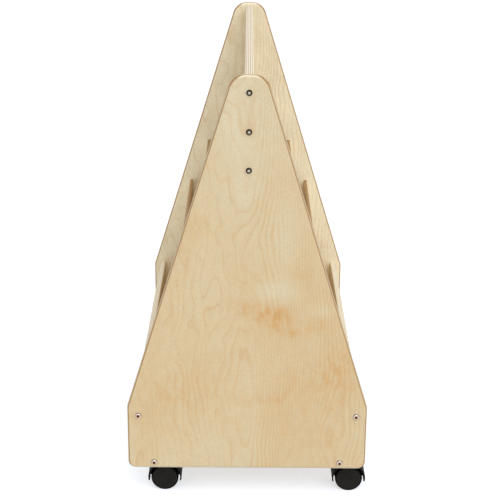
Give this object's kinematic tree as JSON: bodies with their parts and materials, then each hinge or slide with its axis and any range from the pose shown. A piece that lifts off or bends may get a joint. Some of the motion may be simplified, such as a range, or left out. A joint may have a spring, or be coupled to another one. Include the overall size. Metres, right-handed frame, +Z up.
{
  "type": "mobile book browser",
  "caption": "Rolling book browser with A-shaped plywood end panels, stepped bins along both sides and swivel casters",
  "frame": {"origin": "on the floor under the middle of the stand", "axes": "+Z up; +Y along the bins from the front end panel to the rear one; +X across the end panels, to the right when the front end panel is faced"},
  "size_m": [0.4362, 0.7686, 0.7815],
  "materials": {
    "birch_plywood": "clear satin lacquer on birch plywood, grain upright on the end panels",
    "bolt_steel": "nickel-plated button head bolts and barrel nuts",
    "screw_steel": "bright nickel-plated screws",
    "caster_steel": "zinc-plated steel",
    "hood_nylon": "black moulded nylon, fine texture",
    "wheel_nylon": "black moulded nylon, smooth"
  },
  "bodies": {
    "stand": {"end_panel_front": "birch_plywood", "end_panel_rear": "birch_plywood", "base_board": "birch_plywood", "centre_board": "birch_plywood", "front_board_left": "birch_plywood", "front_board_right": "birch_plywood", "divider_low_left": "birch_plywood", "divider_low_right": "birch_plywood", "divider_middle_left": "birch_plywood", "divider_middle_right": "birch_plywood", "divider_high_left": "birch_plywood", "divider_high_right": "birch_plywood", "bin_floor_low_left": "birch_plywood", "bin_floor_low_right": "birch_plywood", "bin_floor_middle_left": "birch_plywood", "bin_floor_middle_right": "birch_plywood", "bin_floor_high_left": "birch_plywood", "bin_floor_high_right": "birch_plywood", "panel_bolts": "bolt_steel", "barrel_nuts": "bolt_steel", "front_board_screws": "screw_steel", "base_end_screws": "screw_steel", "front_board_foot_screws": "screw_steel", "caster_plate_screws": "screw_steel", "caster_front_left_plate": "caster_steel", "caster_front_left_stem": "caster_steel", "caster_front_left_stem_ring": "caster_steel", "caster_front_right_plate": "caster_steel", "caster_front_right_stem": "caster_steel", "caster_front_right_stem_ring": "caster_steel", "caster_rear_left_plate": "caster_steel", "caster_rear_left_stem": "caster_steel", "caster_rear_left_stem_ring": "caster_steel", "caster_rear_right_plate": "caster_steel", "caster_rear_right_stem": "caster_steel", "caster_rear_right_stem_ring": "caster_steel"},
    "caster_front_left_swivel": {"caster_front_left_hood": "hood_nylon", "caster_front_left_axle": "caster_steel"},
    "caster_front_left_outer_roller": {"caster_front_left_wheel_outer": "wheel_nylon"},
    "caster_front_left_inner_roller": {"caster_front_left_wheel_inner": "wheel_nylon"},
    "caster_front_right_swivel": {"caster_front_right_hood": "hood_nylon", "caster_front_right_axle": "caster_steel"},
    "caster_front_right_outer_roller": {"caster_front_right_wheel_outer": "wheel_nylon"},
    "caster_front_right_inner_roller": {"caster_front_right_wheel_inner": "wheel_nylon"},
    "caster_rear_left_swivel": {"caster_rear_left_hood": "hood_nylon", "caster_rear_left_axle": "caster_steel"},
    "caster_rear_left_outer_roller": {"caster_rear_left_wheel_outer": "wheel_nylon"},
    "caster_rear_left_inner_roller": {"caster_rear_left_wheel_inner": "wheel_nylon"},
    "caster_rear_right_swivel": {"caster_rear_right_hood": "hood_nylon", "caster_rear_right_axle": "caster_steel"},
    "caster_rear_right_outer_roller": {"caster_rear_right_wheel_outer": "wheel_nylon"},
    "caster_rear_right_inner_roller": {"caster_rear_right_wheel_inner": "wheel_nylon"}
  },
  "joints": [
    {"name": "caster_front_left_turn", "type": "hinge", "parent": "stand", "child": "caster_front_left_swivel", "pos_m": [-0.169, -0.334, 0.0582], "axis": [0, 0, 1], "continuous": true},
    {"name": "caster_front_left_outer_roll", "type": "hinge", "parent": "caster_front_left_swivel", "child": "caster_front_left_outer_roller", "pos_m": [-0.1505, -0.35025, 0.025], "axis": [0, 1, 0], "continuous": true},
    {"name": "caster_front_left_inner_roll", "type": "hinge", "parent": "caster_front_left_swivel", "child": "caster_front_left_inner_roller", "pos_m": [-0.1505, -0.31775, 0.025], "axis": [0, 1, 0], "continuous": true},
    {"name": "caster_front_right_turn", "type": "hinge", "parent": "stand", "child": "caster_front_right_swivel", "pos_m": [0.169, -0.334, 0.0582], "axis": [0, 0, 1], "continuous": true},
    {"name": "caster_front_right_outer_roll", "type": "hinge", "parent": "caster_front_right_swivel", "child": "caster_front_right_outer_roller", "pos_m": [0.1875, -0.35025, 0.025], "axis": [0, 1, 0], "continuous": true},
    {"name": "caster_front_right_inner_roll", "type": "hinge", "parent": "caster_front_right_swivel", "child": "caster_front_right_inner_roller", "pos_m": [0.1875, -0.31775, 0.025], "axis": [0, 1, 0], "continuous": true},
    {"name": "caster_rear_left_turn", "type": "hinge", "parent": "stand", "child": "caster_rear_left_swivel", "pos_m": [-0.169, 0.334, 0.0582], "axis": [0, 0, 1], "continuous": true},
    {"name": "caster_rear_left_outer_roll", "type": "hinge", "parent": "caster_rear_left_swivel", "child": "caster_rear_left_outer_roller", "pos_m": [-0.1875, 0.35025, 0.025], "axis": [0, 1, 0], "continuous": true},
    {"name": "caster_rear_left_inner_roll", "type": "hinge", "parent": "caster_rear_left_swivel", "child": "caster_rear_left_inner_roller", "pos_m": [-0.1875, 0.31775, 0.025], "axis": [0, 1, 0], "continuous": true},
    {"name": "caster_rear_right_turn", "type": "hinge", "parent": "stand", "child": "caster_rear_right_swivel", "pos_m": [0.169, 0.334, 0.0582], "axis": [0, 0, 1], "continuous": true},
    {"name": "caster_rear_right_outer_roll", "type": "hinge", "parent": "caster_rear_right_swivel", "child": "caster_rear_right_outer_roller", "pos_m": [0.1505, 0.35025, 0.025], "axis": [0, 1, 0], "continuous": true},
    {"name": "caster_rear_right_inner_roll", "type": "hinge", "parent": "caster_rear_right_swivel", "child": "caster_rear_right_inner_roller", "pos_m": [0.1505, 0.31775, 0.025], "axis": [0, 1, 0], "continuous": true}
  ]
}
